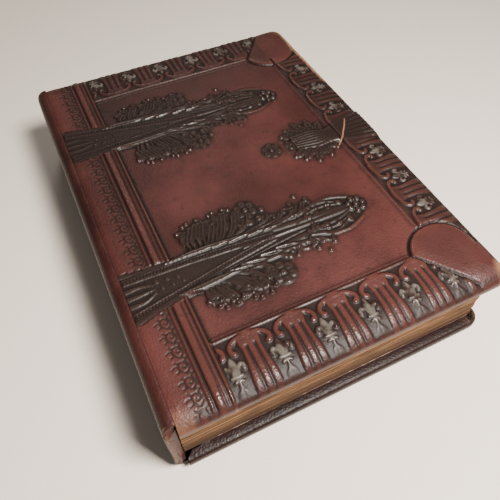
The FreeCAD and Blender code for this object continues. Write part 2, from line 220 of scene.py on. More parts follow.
def tongue(xs, middles, halves, tops, edge_drop=0.9):
    """A long smooth raised body, given its middle, half width and top along the cover."""
    middle, half = np.interp(X, xs, middles), np.interp(X, xs, halves)
    top = np.interp(X, xs, tops)
    inside = (X >= xs[0]) & (X <= xs[-1])
    t = np.clip(np.abs(Y - middle) / np.maximum(half, 0.1), 0, 1)
    body = top - edge_drop * t ** 3
    mask = inside & (t < 1)
    level[mask] = np.where(X[mask] < 31.5, body[mask], np.maximum(level[mask], body[mask]))
    dark[mask] = np.maximum(dark[mask], ease(1 - t[mask], 0, 0.06))


# Two straps run from the spine over the panel: a ribbed tongue with a beaded
# V, a scaled field inside it and foliage to both sides, mirrored head to tail.
for m in (-1, 1):
    def at(*points):
        return bend([(x, -m * y) for x, y in points])

    xs = [0, 4, 14, 30, 50, 75, 100, 112, 122, 132, 142, 149, 153]
    middles = [-m * v for v in (-65, -65, -64.2, -63, -62.2, -61, -61, -61, -60.5, -60.2, -59.5, -59, -59)]
    halves = [17.5, 17.2, 15.2, 13, 12.6, 10.4, 8.6, 9.6, 13.6, 14, 11, 6.5, 2.5]
    tops = [7.3, 7.4, 7.4, 7.3, 7.1, 6.9, 6.7, 6.6, 6.5, 6.5, 6.4, 6.3, 6.1]
    tongue(xs, middles, halves, [t - 1.15 for t in tops], 0.5)
    rib(at((0.3, -49), (14, -50.4), (30, -51.2), (50, -51), (80, -53.6), (112, -56.5), (140, -58)), 1.9, 0.85)
    rib(at((0.3, -81), (14, -77.8), (30, -74.8), (50, -73.2), (75, -70), (100, -67.4), (122, -65)), 2.1, 0.9)
    for inner in (((1.5, -53.8), (30, -54.8), (60, -56.4), (90, -58.8)),
                  ((1.5, -76.6), (30, -71.4), (60, -65.6), (90, -60.6))):
        beads(at(*inner), 1.9, 0.85, 0.75)
        for side in (-1.55, 1.55):
            rib(at(*((x, y + side) for x, y in inner)), 0.65, 0.7)
    for inner in (((30, -52.8), (60, -53.9), (100, -56.8), (120, -58)),
                  ((28, -73.2), (60, -69), (95, -64.4), (118, -62.4))):
        rib(at(*inner), 0.7, 0.6)
    for foot in (-60, -65, -70):
        rib(at((1, foot), (9, foot), (16, foot * 0.5 - 32)), 1.3, 0.6, (1.2, 0.3))
    rib(at((70, -60.3), (95, -60), (122, -60.2), (140, -60)), 1.6, 0.85, (0.4, 1))
    for k, swing in enumerate((3.2, 6.4, 9.4)):
        for way in (-1, 1):
            rib(at((106 + 3 * k, -60.5 + way * (2.4 + 1.4 * k)), (116 + k, -60.2 + way * (swing + 1)),
                   (128, -60 + way * (swing + 1.6)), (139 - k, -59.6 + way * swing * 0.7)),
                0.85, 0.7, (0.6, 1))
    field = (X > 13) & (X < 84)
    field_head = -m * np.interp(X, [12, 30, 60, 90], [-55.2, -56, -57.8, -59.9])
    field_tail = -m * np.interp(X, [12, 30, 60, 90], [-72.8, -70, -64.2, -59.4])
    field &= (np.minimum(field_head, field_tail) < Y) & (Y < np.maximum(field_head, field_tail))
    scales = np.clip(np.cos((X + Y) * 2.1) * np.cos((X - Y) * 2.1), 0, 1)
    detail[field] = np.maximum(detail[field], 0.4 * scales[field])
    for k, x in enumerate((18, 24, 30)):
        beads([(x, -m * (-60.6 - k * 0.5)), (x + 0.02, -m * (-60.6 - k * 0.5))], 1, 1.5 - 0.2 * k, 0.6)
        beads([(x + 2, -m * -65.5), (x + 2.02, -m * -65.5)], 1, 1.1, 0.5)
    for way, spine_side, rim_x, rim_y in (
            (1, -52, (37, 44, 47, 52, 58, 64, 72, 80, 90, 95, 104, 109, 119, 123),
             (-50.5, -45, -37, -33, -37, -33, -33, -30, -33, -43, -44, -42, -42, -48)),
            (-1, -70, (33, 41, 45, 53, 58, 66, 75, 79, 90, 95, 105, 110, 120, 124),
             (-75, -78.5, -85, -87, -83, -88, -87, -81, -82, -74.5, -72, -76, -75.5, -69))):
        outer = -m * np.interp(X, rim_x, rim_y)
        web = (X > rim_x[0]) & (X < rim_x[-1])
        web &= ((Y - outer) * -m * way < 0) & ((Y + m * spine_side) * -m * way > 0)
        level[web] = np.maximum(level[web], FLOOR + 0.42)
        dark[web] = 1
        for start, middle_x, end_x, end_y in (
                (36, 43, 46, -36), (39, 46, 50, -33), (42, 49, 54, -34), (44, 52, 59, -38),
                (47, 55, 63, -34), (50, 59, 68, -33), (53, 64, 74, -35), (56, 68, 79, -41),
                (64, 78, 91, -43.5), (74, 87, 100, -46), (86, 98, 110, -45), (96, 106, 116, -44)):
            if way < 0:
                end_y, middle_x, end_x = -120.5 - end_y * 1.03, middle_x - 3, end_x - 2
            foot = np.interp(start, [30, 120], [-51.5, -55] if way > 0 else [-74, -66])
            for shift in (0, 2.3):
                rib(at((start - 10 + shift, foot), (middle_x - 1 + shift, foot + way * 2.6),
                       (end_x - 3.5 + shift, foot + (end_y - foot) * 0.55), (end_x + shift, end_y)),
                    0.85, 0.95, (0.7, 1.0), FLOOR + 0.35)
    for x, y, turn, size in (
            (45.5, -37, 128, 8.5), (50.5, -35.5, 92, 9.5), (55, -38.5, 52, 8), (61, -35.5, 116, 8.5),
            (67, -34.5, 88, 9.5), (72.5, -36, 50, 8), (45, -82.5, -134, 8), (50, -84, -92, 10),
            (56, -81.5, -48, 8), (62, -85, -116, 8.5), (68, -85.5, -84, 10.5), (74, -83, -44, 8.5)):
        leaf(x, -m * y, m * turn, size, 4.0, 1.35, 1)
        c, d = math.cos(math.radians(turn)), math.sin(math.radians(turn))
        for way in (-1, 1):
            leaf(x + c * size * 0.3, -m * (y + d * size * 0.3), m * (turn + way * 40),
                 size * 0.66, 2.9, 1.35, 1)
            ball(x + c * size * 0.68 - way * d * 3.1, -m * (y + d * size * 0.68 + way * c * 3.1),
                 1.25, 1.1, FLOOR + 0.5)
    for x, y in ((46, -35.5), (53.5, -32), (62.5, -32.5), (70.5, -31),
                 (45, -86), (53, -88.5), (62.5, -88.5), (71.5, -88),
                 (108.5, -45), (119.5, -44), (108.5, -75.5), (119.5, -76)):
        rosette(x, -m * y, 4.0 if x < 100 else 3.1, 3)
    rosette(83, -m * -34.5, 8)
    rosette(83, -m * -84, 8.6)
    rosette(68, -m * -75.5, 4.8, 5)
    for x, y, radius in (
            (75, -44.5, 2.4), (81.5, -44, 2.8), (88, -43.5, 2.4), (92, -38, 1.9), (76, -75, 2.4),
            (91.5, -76, 1.9), (58.5, -33, 1.8), (108, -48, 1.8), (108, -71, 1.8), (59, -88.5, 1.6)):
        ball(x, -m * y, radius, 1.0, FLOOR + 0.35)
    for x, y, radius, way in ((96, -47, 4.0, 1), (103.5, -46, 3.6, -1),
                              (94.5, -73.6, 4.0, -1), (102.5, -72.2, 3.6, 1)):
        curl(x, -m * y, radius, m * 1.2, way * m, 0.95)
    for root, turn in ((-48, 88), (-71.5, -88)):
        for swing, size in ((-40, 9), (0, 11.5), (40, 9)):
            leaf(114, -m * root, m * (turn + swing), size, 3.1, 1.25, 1)
            tip = math.radians(turn + swing)
            ball(114 + math.cos(tip) * size * 0.92, -m * (root + math.sin(tip) * size * 0.92),
                 1.5, 1.0, FLOOR + 0.4)
    for k in range(7):
        a = 2 * math.pi * k / 7
        beads([(145.5 + 4.6 * math.cos(a), -m * (-59 + 4.6 * math.sin(a))),
               (145.52 + 4.6 * math.cos(a), -m * (-59 + 4.6 * math.sin(a)))], 1, 1.9, 1.0, FLOOR + 0.5)
    ball(145.5, -m * -59, 2.0, 1.2, FLOOR + 0.6)
    for way in (-1, 1):
        rim_line = [(x, -60.3 + way * (np.interp(x, xs, halves) - 0.9))
                    for x in (106, 111, 116, 121, 127, 133, 139, 144)]
        rib(at(*rim_line), 1.15, 0.75)
        for x, size in ((120, 5), (128, 5.5), (135.5, 5)):
            leaf(x, -m * (-60.3 + way * 5), m * way * -64, size, 2.0, 1.2, 1)

# The fan at the middle of the fore edge: a ribbed hood over the border, a
# waist, then foliage and a rosette on the panel.
tongue([133, 140, 150, 158, 163, 168, 176, 186, 193.2], [4.5, 4, 3.4, 2.2, 1.2, 1, 1, 1, 1],
       [5, 8, 9.5, 8.5, 7, 9, 12, 13.4, 14],
       [5.9, 6.3, 6.5, 6.7, 6.95, 7.05, 7.05, 7.0, 6.9], 0.9)
for k in range(-3, 4):
    rib(bend([(193, 1 + 4.1 * k), (178, 1 + 3.3 * k), (163, 1.2 + 1.9 * k), (152, 2.8 + 2.5 * k),
              (138, 4 + 1.9 * k)]), 1.0, 0.85, (1.7, 0.85))
for way, rise in ((1, 19), (-1, -14)):
    rib(bend([(162, 2 + way * 5), (155, 3 + way * 8), (149, 0.6 * rise + 1), (146, rise)]),
        1.3, 0.9, (1, 0.6), FLOOR + 0.2)
    for x, y, turn, size in ((156, 7, 92, 12), (152, 8, 118, 14), (147, 8, 140, 12),
                             (142, 7, 158, 10), (159, 6, 62, 9)):
        leaf(x, 3 + way * y, way * turn, size, 3.6, 1.6, 2)
        c, d = math.cos(math.radians(turn)), math.sin(math.radians(turn))
        ball(x + c * size * 0.95, 3 + way * (y + d * size * 0.95), 1.5, 1.2, FLOOR + 0.3)
    curl(138, 4 + way * 8.5, 3.2, 0.4, way)
    ball(131, 4.5 + way * 5.4, 1.9)
    ball(146, rise, 2.0)
    ball(152, rise - way * 3, 1.7)
for k in range(5):
    ball(157 - 5 * k, 11.5 + 0.6 * k, 1.3)
    ball(157 - 5 * k, -5.6 - 0.4 * k, 1.3)
rosette(121.5, 5, 7.6)
rosette(135.5, 4.6, 4.8, 5)

# The border: fluted pilasters with curling capitals, a fleur-de-lis in each
# niche between them, a leaf at its foot and a bead line along the panel.


def stroke(u, v, points, half):
    """The height of a rounded mark drawn in a motif's own place."""
    return np.sqrt(np.clip(1 - (reach(bend(points, 6), u, v)[0] / half) ** 2, 0, 1))


PITCH = 25.5


def motif(u, v):
    """One niche at u = 0 and the two half pilasters at its sides; v runs outward."""
    p = PITCH / 2 - np.abs(u)
    half = 5.2 + 1.7 * ease(v, 12, 34)
    shaft = ease(half - p, -0.5, 0.7) * ease(v, 8.5, 10.5)
    capital = stroke(p, v, [(0, 6.4), (4.4, 5.6), (8.2, 6.8), (10.6, 9.4), (10.4, 12.2), (9.2, 12.8)], 1.55)
    cap = ease(v, 4.0, 5.4) * (1 - ease(v, 11.5, 13)) * ease(7.2 - 0.25 * (v - 4) - p, -0.6, 0.8)
    crest = np.sqrt(np.clip(1 - ((p / 5.2) ** 2 + ((v - 5.4) / 2.4) ** 2), 0, 1))
    rise = np.maximum.reduce([0.8 * shaft * (1 - 0.25 * (p / half) ** 4), 0.95 * capital,
                              0.85 * cap, 1.05 * crest])
    flutes = np.exp(-((p - 2.3) / 0.85) ** 2) * ease(v, 9.5, 11.5) * (1 - ease(v, 34, 36))
    petal = 2.3 * np.sin(math.pi * np.clip((v - 13.4) / 10.4, 0, 1)) ** 0.8
    lily = np.clip(1 - (u / np.maximum(petal, 0.05)) ** 2, 0, 1) ** 0.5 * (petal > 0.05)
    w = np.abs(u)
    lily = np.maximum.reduce([
        lily, stroke(w, v, [(0.9, 24), (2.0, 20.4), (3.8, 18.2), (5.2, 19.4), (4.9, 21.2)], 1.05),
        stroke(w, v, [(0, 24), (2.7, 24)], 0.9), stroke(w, v, [(0.4, 25.4), (2.2, 26.8)], 0.75),
        np.clip(1 - (u / 1.1) ** 2 - ((v - 26.4) / 1.8) ** 2, 0, 1) ** 0.5])
    foot = np.clip(1 - (u / 1.2) ** 2 - ((v - 28.4) / 1.0) ** 2, 0, 1) ** 0.5
    blade = 3.4 * np.sin(math.pi * np.clip((v - 28.6) / 8.6, 0, 1)) ** 0.9
    blade = np.clip(1 - (u / np.maximum(blade, 0.05)) ** 2, 0, 1) ** 0.5 * (blade > 0.05)
    blade = blade * (1 - 0.5 * np.exp(-(u / 0.4) ** 2))
    height = -0.8 + np.maximum.reduce([rise, 0.85 * lily, 0.5 * foot, 0.4 * blade])
    shade = 0.95 * (1 - ease(rise, 0.15, 0.7)) + 0.9 * flutes
    return height - 0.6 * flutes * shaft, np.clip(shade, 0, 1), lily


def lobe(x, y):
    """How far inside a smooth corner piece each spot lies, in millimetres."""
    shoulder = 21 - np.hypot(x - 172, np.abs(y) - 112)
    corner = np.minimum(x - 172, np.abs(y) - 112)
    cut = ((x - 151.5) * 29 - (np.abs(y) - 106) * 22) / 36.4
    return np.minimum(np.maximum(shoulder, corner), cut)


in_corner = lobe(X, Y)
for across in (False, True):
    if across:
        u, v = Y, (X - 166.2) * 36 / 30.3
        rows = (X > 167) & (np.abs(Y) < 113) & (np.abs(Y - 1) > 15.5)
    else:
        u, v = X - 35, np.abs(Y) - 104
        rows = (np.abs(Y) > 104) & (X > STRIP_END) & (X < 176)
    u = (u + PITCH / 2) % PITCH - PITCH / 2
    rows &= in_corner < 0
    height, shade, lily = motif(u[rows], v[rows])
    fade = ease(v[rows], 2.6, 4.0)
    level[rows] = level[rows] + height * fade
    dark[rows] = np.maximum(dark[rows], shade * fade)
    # The lily of each fleur-de-lis is marked for a painted highlight, a grey sheen.
    silver[rows] = np.maximum(silver[rows], lily)
smooth_corner = (in_corner > 0) & (level < 8)
level[smooth_corner] = (CROWN - 0.5 + 0.5 * ease(in_corner, 0, 7) - drop(edge))[smooth_corner]
dark[smooth_corner] = 0
detail[smooth_corner] = 0
near_corner = np.exp(-(in_corner / 0.95) ** 2)
cuts = np.maximum(cuts, 0.95 * near_corner)
dark = np.maximum(dark, 0.95 * near_corner)
for m in (-1, 1):
    groove([(31, m * 105.9), (151, m * 105.9)], 0.75, 0.9)
    beads([(31, m * 104.5), (150.5, m * 104.5)], 1.5, 0.7, 0.55)
groove([(168.6, -92), (168.6, 98)], 0.8, 0.9)
beads([(167.2, -90), (167.2, 96)], 1.5, 0.7, 0.5)

# Tooling along the spine side: a lace band of small scrolls, fillets, one of
# them beaded, and a double line against the panel. The straps lie over it.
plain = dark < 0.05
side = np.zeros_like(X)
wave = (Y + 4.3) % 8.6 - 4.3
lace = np.zeros_like(X)
scrolls = (
    [(16.6, -4.3), (14.8, -3.9), (12.4, -2.6), (11.2, -0.4), (11.8, 1.9),
     (13.6, 2.6), (15.2, 1.6), (15.3, -0.2), (13.9, -0.9), (13.2, 0.2)],
    [(16.8, 4.0), (15.4, 2.8), (16.4, 0.4), (16.2, -1.8), (14.6, -3.0)],
    [(11.3, 0.6), (9.6, 1.0), (8.2, 0.2)], [(11.6, -1.6), (9.8, -2.6)], [(11.8, 2.2), (10.4, 3.4)])
for mark in scrolls:
    lace = np.maximum(lace, stroke(X, wave, mark, 0.52))
beat = (Y / 1.5) % 1 - 0.5
side = np.maximum(side, 0.4 * np.sqrt(np.clip(1 - ((X - 18.9) ** 2 + (beat * 1.5) ** 2) / 0.5, 0, 1)))
side = np.maximum(side, 0.35 * np.sqrt(np.clip(1 - ((X - 28.7) / 0.75) ** 2, 0, 1)))
lines = np.zeros_like(X)
for x, half, depth in ((17.4, 0.4, 0.45), (20.2, 0.5, 0.55), (25.1, 0.4, 0.4),
                       (27.5, 0.5, 0.6), (30.2, 0.6, 0.75)):
    lines = np.maximum(lines, depth * np.exp(-((X - x) / half) ** 2))
mask = plain & (X < 31)
detail[mask] = np.maximum(detail, side)[mask]
cuts[mask] = np.maximum(cuts, lines)[mask]
cuts[mask] = np.maximum(cuts, 0.34 * lace)[mask]
tooled = np.maximum(0.95 * ease(lace, 0.15, 0.7), np.clip(lines * 1.9, 0, 1))
tooled = np.maximum(tooled, 0.35 * ease(X, 11, 14) * (1 - ease(X, 16.8, 17.4)))
tooled = np.maximum(tooled, 0.55 * ease(X, 17, 17.6) * (1 - ease(X, 20.4, 21)))
tooled = np.maximum(tooled, 0.5 * ease(X, 27, 27.6) * (1 - ease(X, 30.4, 31)))
dark[mask] = np.maximum(dark, tooled)[mask]

# The finished relief. No plate presses every detail sharp, so it is softened,
# and its hollows, rubbed high spots, old wax, painted shade, a painted sheen and wear are marked for the
# hide.
surface = np.minimum(level, TOP) + detail - cuts
surface = np.minimum(surface, TOP + 0.1)


def soften(values, reach_cells):
    """The same surface with its small relief smoothed away."""
    size = 2 * reach_cells + 1
    for axis in (0, 1):
        pad = [(0, 0), (0, 0)]
        pad[axis] = (reach_cells + 1, reach_cells)
        total = np.cumsum(np.pad(values, pad, mode="edge"), axis=axis)
        last = total.shape[axis]
        far = np.take(total, range(size, last), axis)
        values = (far - np.take(total, range(last - size), axis)) / size
    return values


surface = 0.5 * surface + 0.5 * soften(surface, 1)
stand = surface - soften(surface, 5)
hollow = np.clip(-stand * 2.4, 0, 1)
rubbed = np.clip(stand * 2.2, 0, 1)
dark = np.maximum(soften(dark, 1), 0.6 * soften(soften(dark, 9), 6))
# Painted shade: the panel darkens towards its head and spine side, where the lamp's light falls off.
dark = np.maximum(dark, 0.68 * ease(Y - 0.35 * X, -10, 75) * (X > 31) * (X < 168))
dark = np.maximum(dark, 0.3 * ease(X, 150, 165) * ease(np.abs(Y), 88, 100))
dark = np.maximum(dark, 0.76 * ease(X, 167, 171) * ease(-in_corner, 0, 2) * (1 - 0.35 * rubbed))
dark = np.maximum(dark, 0.5 * ease(Y, 104, 108) * ease(-in_corner, 0, 2) * (X > 30))
dark = np.maximum(dark, 0.3 * ease(X, 9, 13) * (X < 31))
scuff = ease(edge, 7, 3.2)
tail_spine = ease(np.hypot(X, Y + HALF), 26, 4)
fore_tail = ease(np.hypot(X - LENGTH, Y + HALF - 4), 17, 3)
fore_head = ease(np.hypot(X - LENGTH + 2, Y - HALF + 3), 24, 6)
fore_line = ease(X, 190.2, 192.6) * ease(Y, 50, 62)
worn = np.maximum.reduce([0.55 * tail_spine, 0.85 * fore_tail, 0.5 * fore_head,
                          0.8 * fore_line, 0.35 * scuff])
worn = np.clip(worn, 0, 1)
crack = reach(bend([(181, 10), (177, 4), (173, -1), (170, -5), (165, -9.5)]), X, Y)[0]
worn = np.maximum(worn, 0.9 * np.exp(-(crack / 0.7) ** 2))
surface = surface - 0.3 * np.exp(-(crack / 0.5) ** 2)

# Each cover's hide is cut into seven pieces along the border's lines, each
# rolled over the board's edge and turned in behind it. The back is the same,
# turned over, and darkened as painted shade, for it lies in shade under the leaves.
SIDES = {
    "front": Matrix.Translation((HINGE_X, 0, FRONT_Z)) @ Matrix.Scale(0.001, 4),
    "back": (Matrix.Translation((HINGE_X, 0, BACK_Z)) @ Matrix.Rotation(math.pi, 4, "X")
             @ Matrix.Scale(0.001, 4)),
}
CORNER = 5.0
TURN_IN = 14.9
JOINT_HOLLOW = 7.0


def outline(x, y):
    """The rounded corners of the flat face: where a spot goes, and which way is out."""
    cx = x if x < ACROSS[0] + 1 else min(x, ACROSS[-1] - CORNER)
    rounding = 0.4 if x < ACROSS[0] + 1 else CORNER
    cy = min(max(y, ALONG[0] + rounding), ALONG[-1] - rounding)
    dx, dy = x - cx, y - cy
    size = math.hypot(dx, dy)
    if size < 1e-6:
        return x, y, -1.0 if x < ACROSS[0] + 0.01 else 0.0, 0.0
    scale = max(abs(dx), abs(dy)) / size
    return cx + dx * scale, cy + dy * scale, dx / size, dy / size


def wall(height):
    """The hollow along the hinge that the joint turns in."""
    return max(0.3, math.sqrt(max(0.0, JOINT_HOLLOW ** 2 - height * height)))


def skin(name, i0, i1, j0, j1, body, material, *replaced):
    """A piece of the pressed face, rolled over the board's edge and turned in behind it."""
    bm = bmesh.new()
    nx, ny = i1 - i0, j1 - j0
    bmesh.ops.create_grid(bm, x_segments=nx, y_segments=ny, size=1)
    marks = {key: bm.verts.layers.float.new(key) for key in ("hollow", "rubbed", "dark", "worn", "silver")}
    start = {key: bm.verts.layers.float.new("start_" + key) for key in "xyh"}
    tones = (hollow, rubbed, dark, worn, silver)
    for v in bm.verts:
        i = i0 + round((v.co.x + 1) / 2 * nx)
        j = j0 + round((v.co.y + 1) / 2 * ny)
        x, y, out_x, out_y = outline(ACROSS[i], ALONG[j])
        v.co = (x, y, surface[i, j])
        v[start["x"]], v[start["y"]], v[start["h"]] = ACROSS[i], ALONG[j], surface[i, j]
        for layer, values in zip(marks.values(), tones):
            v[layer] = values[i, j]
    rim = [e for e in bm.edges if e.is_boundary and all(
        min(abs(v[start["x"]] - ACROSS[0]), abs(v[start["x"]] - ACROSS[-1]),
            abs(v[start["y"]] - ALONG[0]), abs(v[start["y"]] - ALONG[-1])) < 1e-3 for v in e.verts)]
    rim = [e for e in rim
           if len({(round(v[start["x"]], 3), round(v[start["y"]], 3)) for v in e.verts}) == 2]
    rings = [(out, 1 - out / ROLL, CROWN - drop(ROLL - out))
             for out in (0.6, 1.2, 1.8, 2.4, 2.9, 3.25, 3.45, 3.5)]
    rings += [(ROLL, 0, -0.8), (ROLL, 0, -2.2), (ROLL - 0.35, 0, -3.4), (ROLL - 1.25, 0, -4.2),
              (ROLL - 2.5, 0, -4.5), (ROLL - TURN_IN, 0, -4.5), (ROLL - TURN_IN, 0, -3.9)]
    shelf = CROWN - drop(ROLL)
    for number, (out, part, base) in enumerate(rings):
        grown = bmesh.ops.extrude_edge_only(bm, edges=rim)["geom"]
        rim = [e for e in grown if isinstance(e, bmesh.types.BMEdge)]
        fresh = {v for e in rim for v in e.verts}
        for v in fresh:
            x, y, out_x, out_y = outline(v[start["x"]], v[start["y"]])
            h = base + (v[start["h"]] - shelf) * part
            x, y = x + max(out_x, 0) * out, y + out_y * out
            if out_y == 0 and v[start["x"]] < 16:
                x = max(x, wall(h)) + (ROLL - out if number > 9 else 0)
                y = max(TURN_IN - HALF, min(HALF - TURN_IN, y)) if number > 12 else y
            elif v[start["x"]] < 16 and number > 12:
                x = max(x, 15.0)
            v.co = (x, y, h)
            handled = 0.45 if 7 < number < 11 and body == "front_cover" else 0.12
            v[marks["worn"]] = max(v[marks["worn"]], handled)
            v[marks["dark"]] *= 0.9 if number < 6 else 0.3
            v[marks["silver"]] = 0
            v[marks["hollow"]] *= 0.8
    bmesh.ops.recalc_face_normals(bm, faces=bm.faces)
    middle = min(bm.faces, key=lambda f: abs(f.index - nx * ny // 2))
    if middle.normal.z < 0:
        bmesh.ops.reverse_faces(bm, faces=bm.faces)
    for f in bm.faces:
        f.smooth = True
    for layer in start.values():
        bm.verts.layers.float.remove(layer)
    mesh = bpy.data.meshes.new(name)
    bm.to_mesh(mesh)
    bm.free()
    mesh.transform(SIDES[name.split("_")[0]])
    piece = bpy.data.objects.new(name, mesh)
    bpy.context.scene.collection.objects.link(piece)
    mesh.materials.append(material)
    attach(piece, body)
    if replaced:
        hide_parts(*replaced)
    return piece


class Wire:
    """An output of a shader node, whose sums are written as plain maths."""

    def __init__(self, finish, socket):
        self.finish = finish
        self.socket = socket

    def __add__(self, other):
        return self.finish.node("ShaderNodeMath", {"operation": "ADD"}, {0: self, 1: other})

    def __mul__(self, other):
        return self.finish.node("ShaderNodeMath", {"operation": "MULTIPLY"}, {0: self, 1: other})

    def __sub__(self, other):
        return self.finish.node("ShaderNodeMath", {"operation": "SUBTRACT"}, {0: self, 1: other})

    def __rsub__(self, other):
        return self.finish.node("ShaderNodeMath", {"operation": "SUBTRACT"}, {0: other, 1: self})

    __radd__ = __add__
    __rmul__ = __mul__


class Finish:
    """A material under construction."""

    def __init__(self, name):
        self.material = bpy.data.materials.new(name)
        self.material.use_nodes = True
        self.tree = self.material.node_tree
        self.tree.nodes.clear()

    def node(self, kind, settings, values, output=0):
        made = self.tree.nodes.new(kind)
        for key, value in settings.items():
            if key == "stops":
                ramp = made.color_ramp
                while len(ramp.elements) < len(value):
                    ramp.elements.new(0.5)
                for element, (spot, colour) in zip(ramp.elements, value):
                    element.position, element.color = spot, (*colour, 1)
            else:
                setattr(made, key, value)
        for key, value in values.items():
            if isinstance(value, Wire):
                self.tree.links.new(value.socket, made.inputs[key])
            else:
                made.inputs[key].default_value = value
        return Wire(self, made.outputs[output])

    def spread(self, factor, first, second):
        """From the first colour to the second as the factor goes from 0 to 1."""
        ends = [c if isinstance(c, Wire) else (*c, 1) for c in (first, second)]
        return self.node("ShaderNodeMix", {"data_type": "RGBA"}, {0: factor, 6: ends[0], 7: ends[1]}, 2)

    def ramp(self, value, start, end):
        """A number that goes from 0 to 1 between start and end."""
        return self.node("ShaderNodeMapRange", {"interpolation_type": "SMOOTHSTEP"},
                         {0: value, 1: start, 2: end})

    def noise(self, scale, detail=4.0, rough=0.55, vector=None):
        return self.node("ShaderNodeTexNoise", {}, {"Vector": vector or self.place(), "Scale": scale,
                                                    "Detail": detail, "Roughness": rough})

    def place(self, scale=(1, 1, 1)):
        where = self.node("ShaderNodeTexCoord", {}, {}, "Object")
        if scale == (1, 1, 1):
            return where
        return self.node("ShaderNodeMapping", {}, {"Vector": where, "Scale": scale})

    def mark(self, name):
        return self.node("ShaderNodeAttribute", {"attribute_name": name}, {}, "Fac")

    def done(self, height=None, depth=0.0003, **sockets):
        """The closing shader; height gives its bump."""
        values = {key.replace("_", " "): value for key, value in sockets.items()}
        if height is not None:
            bump = {"Distance": depth, "Strength": 1.0, "Height": height}
            values["Normal"] = self.node("ShaderNodeBump", {}, bump)
        shader = self.node("ShaderNodeBsdfPrincipled", {}, values)
        output = self.tree.nodes.new("ShaderNodeOutputMaterial")
        self.tree.links.new(shader.socket, output.inputs["Surface"])
        return self.material


def leather(name, pressed, tone_and_shade=1.0):
    """Red-brown grained hide with old dark wax in the hollows, rubbed high spots, painted shade and a painted
    grey sheen.
    """
    f = Finish(name)
    cloud = f.noise(11, 6, 0.6)
    blotch = f.ramp(f.noise(26, 5, 0.6), 0.56, 0.72)
    fleck = f.ramp(f.noise(190, 3, 0.6), 0.56, 0.74)
    pebble = f.node("ShaderNodeTexVoronoi", {"feature": "SMOOTH_F1"},
                    {"Vector": f.place(), "Scale": 780.0, "Smoothness": 0.6}, "Distance")
    crease = f.noise(1900, 2, 0.5)
    deep, warm = (0.028 * tone_and_shade, 0.0075 * tone_and_shade, 0.0065 * tone_and_shade), (0.066 * tone_and_shade, 0.0192 * tone_and_shade, 0.0165 * tone_and_shade)
    colour = f.spread(f.ramp(cloud, 0.34, 0.66), deep, warm)
    colour = f.spread(blotch * 0.75, colour, (0.03 * tone_and_shade, 0.011 * tone_and_shade, 0.009 * tone_and_shade))
    colour = f.spread(fleck * 0.55, colour, (0.02, 0.008, 0.0065))
    rough = 0.4 + cloud * 0.14
    if pressed:
        sunk, high_spot, wax_and_shade = f.mark("hollow"), f.mark("rubbed"), f.mark("dark")
        wear, fleur_glint = f.mark("worn"), f.mark("silver")
        colour = f.spread(high_spot * 0.4, colour, (0.12 * tone_and_shade, 0.042 * tone_and_shade, 0.031 * tone_and_shade))
        # Old wax, and painted shade on the panel's head side, darken the hide.
        colour = f.spread(wax_and_shade * 0.92, colour, (0.009, 0.0055, 0.0042))
        colour = f.spread(sunk * 0.85, colour, (0.0035, 0.002, 0.0017))
        colour = f.spread(high_spot * wax_and_shade * 0.35, colour, (0.05, 0.033, 0.027))
        scuffed = f.ramp(wear * (0.35 + f.noise(60, 6, 0.7)), 0.28, 0.8)
        colour = f.spread(scuffed, colour, (0.2 * tone_and_shade, 0.1 * tone_and_shade, 0.054 * tone_and_shade))
        # A painted highlight: the fleurs-de-lis take a grey sheen.
        colour = f.spread(fleur_glint * f.ramp(f.noise(160, 3), 0.38, 0.6) * 0.45, colour, (0.16, 0.142, 0.122))
        rough = rough + wax_and_shade * 0.02 - high_spot * 0.3 - fleur_glint * 0.05
        pebble = pebble * (1 - wax_and_shade * 0.75)
    else:
        scuffed = f.ramp(f.mark("worn") * (0.35 + f.noise(60, 6, 0.7)), 0.3, 0.85)
        colour = f.spread(scuffed, colour, (0.17, 0.085, 0.045))
    grain = pebble * 0.8 + crease * 0.25
    return f.done(height=grain, depth=0.00023, Base_Color=colour, Roughness=rough, Specular_IOR_Level=0.21)


# The back cover's hide is a darker copy of the front's: painted shade.
cover_hide = {"front": leather("front cover hide", True), "back": leather("back cover hide in painted shade", True, 0.25)}
count_x, count_y = len(ACROSS) - 1, len(ALONG) - 1
left = int(np.searchsorted(ACROSS, STRIP_END))
right = int(np.searchsorted(ACROSS, 168.4))
tail, head = int(np.searchsorted(ALONG, -103.4)), int(np.searchsorted(ALONG, 103.4))
lower, upper = int(np.searchsorted(ALONG, -24)), int(np.searchsorted(ALONG, 27))
for where in ("front", "back"):
    cover = where + "_cover"
    hide = cover_hide[where]
    skin(where + "_spine_strip", 0, left, 0, count_y, cover, hide, cover + "_leather")
    skin(where + "_tail_border", left, count_x, 0, tail, cover, hide, where + "_border_core")
    skin(where + "_head_border", left, count_x, head, count_y, cover, hide)
    skin(where + "_fore_border", right, count_x, tail, head, cover, hide, where + "_board")
    skin(where + "_tail_strap", left, right, tail, lower, cover, hide, where + "_strap_relief_tail")
    skin(where + "_fan_panel", left, right, lower, upper, cover, hide, where + "_fan_relief")
    skin(where + "_head_strap", left, right, upper, head, cover, hide, where + "_strap_relief_head")

# The spine: the same hide, smooth and rubbed, drawn over a card and round
# the two joints that the covers turn on. It is one piece, 1.8 mm thick.
wall_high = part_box("spine_leather")[1]
